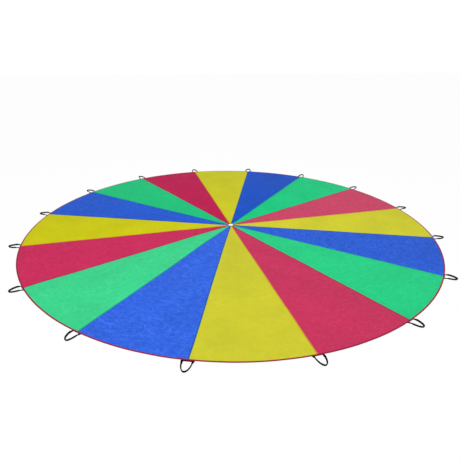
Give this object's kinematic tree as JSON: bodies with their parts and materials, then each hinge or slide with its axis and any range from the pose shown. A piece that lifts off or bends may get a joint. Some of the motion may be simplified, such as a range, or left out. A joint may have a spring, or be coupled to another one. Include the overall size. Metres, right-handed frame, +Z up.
{
  "type": "play parachute",
  "caption": "Flat round play parachute of coloured fabric gores with a bound rim, a bound vent hole in the middle and a webbing hand loop at each seam, laid out on the floor.",
  "frame": {"origin": "on the floor, under the middle of the vent hole", "axes": "+Z up out of the laid canopy; +X towards the first seam and its hand loop, with the first red gore starting there and going counter-clockwise"},
  "size_m": [5.2392, 5.2422, 0.02],
  "materials": {
    "red_taffeta": "thin woven polyester with a soft sheen",
    "green_taffeta": "thin woven polyester with a soft sheen",
    "blue_taffeta": "thin woven polyester with a soft sheen",
    "yellow_taffeta": "thin woven polyester with a soft sheen",
    "binding_tape": "woven polyester tape, matt",
    "webbing": "soft tubular polypropylene webbing, matt black"
  },
  "bodies": {
    "canopy": {"gore_01_red": "red_taffeta", "gore_02_green": "green_taffeta", "gore_03_blue": "blue_taffeta", "gore_04_yellow": "yellow_taffeta", "gore_05_red": "red_taffeta", "gore_06_green": "green_taffeta", "gore_07_blue": "blue_taffeta", "gore_08_yellow": "yellow_taffeta", "gore_09_red": "red_taffeta", "gore_10_green": "green_taffeta", "gore_11_blue": "blue_taffeta", "gore_12_yellow": "yellow_taffeta", "gore_13_red": "red_taffeta", "gore_14_green": "green_taffeta", "gore_15_blue": "blue_taffeta", "gore_16_yellow": "yellow_taffeta", "rim_binding": "binding_tape", "handle_base_01": "webbing", "handle_base_02": "webbing", "handle_base_03": "webbing", "handle_base_04": "webbing", "handle_base_05": "webbing", "handle_base_06": "webbing", "handle_base_07": "webbing", "handle_base_08": "webbing", "handle_base_09": "webbing", "handle_base_10": "webbing", "handle_base_11": "webbing", "handle_base_12": "webbing", "handle_base_13": "webbing", "handle_base_14": "webbing", "handle_base_15": "webbing", "handle_base_16": "webbing"},
    "crown": {"vent_binding": "binding_tape"},
    "handle_01": {"handle_loop_01": "webbing"},
    "handle_02": {"handle_loop_02": "webbing"},
    "handle_03": {"handle_loop_03": "webbing"},
    "handle_04": {"handle_loop_04": "webbing"},
    "handle_05": {"handle_loop_05": "webbing"},
    "handle_06": {"handle_loop_06": "webbing"},
    "handle_07": {"handle_loop_07": "webbing"},
    "handle_08": {"handle_loop_08": "webbing"},
    "handle_09": {"handle_loop_09": "webbing"},
    "handle_10": {"handle_loop_10": "webbing"},
    "handle_11": {"handle_loop_11": "webbing"},
    "handle_12": {"handle_loop_12": "webbing"},
    "handle_13": {"handle_loop_13": "webbing"},
    "handle_14": {"handle_loop_14": "webbing"},
    "handle_15": {"handle_loop_15": "webbing"},
    "handle_16": {"handle_loop_16": "webbing"}
  },
  "joints": [
    {"name": "crown_rise", "type": "slide", "parent": "canopy", "child": "crown", "axis": [0, 0, 1], "range_m": [0, 0.35], "deforming": ["gore_01_red", "gore_02_green", "gore_03_blue", "gore_04_yellow", "gore_05_red", "gore_06_green", "gore_07_blue", "gore_08_yellow", "gore_09_red", "gore_10_green", "gore_11_blue", "gore_12_yellow", "gore_13_red", "gore_14_green", "gore_15_blue", "gore_16_yellow"]},
    {"name": "handle_01_flop", "type": "hinge", "parent": "canopy", "child": "handle_01", "pos_m": [2.503, 0, 0.0041], "axis": [0, -1, 0], "range_deg": [0, 150]},
    {"name": "handle_02_flop", "type": "hinge", "parent": "canopy", "child": "handle_02", "pos_m": [2.31339, 0.95824, 0.0041], "axis": [0.3827, -0.9239, 0], "range_deg": [0, 150]},
    {"name": "handle_03_flop", "type": "hinge", "parent": "canopy", "child": "handle_03", "pos_m": [1.76989, 1.76989, 0.0041], "axis": [0.7071, -0.7071, 0], "range_deg": [0, 150]},
    {"name": "handle_04_flop", "type": "hinge", "parent": "canopy", "child": "handle_04", "pos_m": [0.96092, 2.31986, 0.0041], "axis": [0.9239, -0.3827, 0], "range_deg": [0, 150]},
    {"name": "handle_05_flop", "type": "hinge", "parent": "canopy", "child": "handle_05", "pos_m": [0, 2.504, 0.0041], "axis": [1, 0, 0], "range_deg": [0, 150]},
    {"name": "handle_06_flop", "type": "hinge", "parent": "canopy", "child": "handle_06", "pos_m": [-0.95786, 2.31247, 0.0041], "axis": [0.9239, 0.3827, 0], "range_deg": [0, 150]},
    {"name": "handle_07_flop", "type": "hinge", "parent": "canopy", "child": "handle_07", "pos_m": [-1.77059, 1.77059, 0.0041], "axis": [0.7071, 0.7071, 0], "range_deg": [0, 150]},
    {"name": "handle_08_flop", "type": "hinge", "parent": "canopy", "child": "handle_08", "pos_m": [-2.31247, 0.95786, 0.0041], "axis": [0.3827, 0.9239, 0], "range_deg": [0, 150]},
    {"name": "handle_09_flop", "type": "hinge", "parent": "canopy", "child": "handle_09", "pos_m": [-2.503, 0, 0.0041], "axis": [0, 1, 0], "range_deg": [0, 150]},
    {"name": "handle_10_flop", "type": "hinge", "parent": "canopy", "child": "handle_10", "pos_m": [-2.31339, -0.95824, 0.0041], "axis": [-0.3827, 0.9239, 0], "range_deg": [0, 150]},
    {"name": "handle_11_flop", "type": "hinge", "parent": "canopy", "child": "handle_11", "pos_m": [-1.76989, -1.76989, 0.0041], "axis": [-0.7071, 0.7071, 0], "range_deg": [0, 150]},
    {"name": "handle_12_flop", "type": "hinge", "parent": "canopy", "child": "handle_12", "pos_m": [-0.96092, -2.31986, 0.0041], "axis": [-0.9239, 0.3827, 0], "range_deg": [0, 150]},
    {"name": "handle_13_flop", "type": "hinge", "parent": "canopy", "child": "handle_13", "pos_m": [0, -2.504, 0.0041], "axis": [-1, 0, 0], "range_deg": [0, 150]},
    {"name": "handle_14_flop", "type": "hinge", "parent": "canopy", "child": "handle_14", "pos_m": [0.95786, -2.31247, 0.0041], "axis": [-0.9239, -0.3827, 0], "range_deg": [0, 150]},
    {"name": "handle_15_flop", "type": "hinge", "parent": "canopy", "child": "handle_15", "pos_m": [1.77059, -1.77059, 0.0041], "axis": [-0.7071, -0.7071, 0], "range_deg": [0, 150]},
    {"name": "handle_16_flop", "type": "hinge", "parent": "canopy", "child": "handle_16", "pos_m": [2.31247, -0.95786, 0.0041], "axis": [-0.3827, -0.9239, 0], "range_deg": [0, 150]}
  ]
}
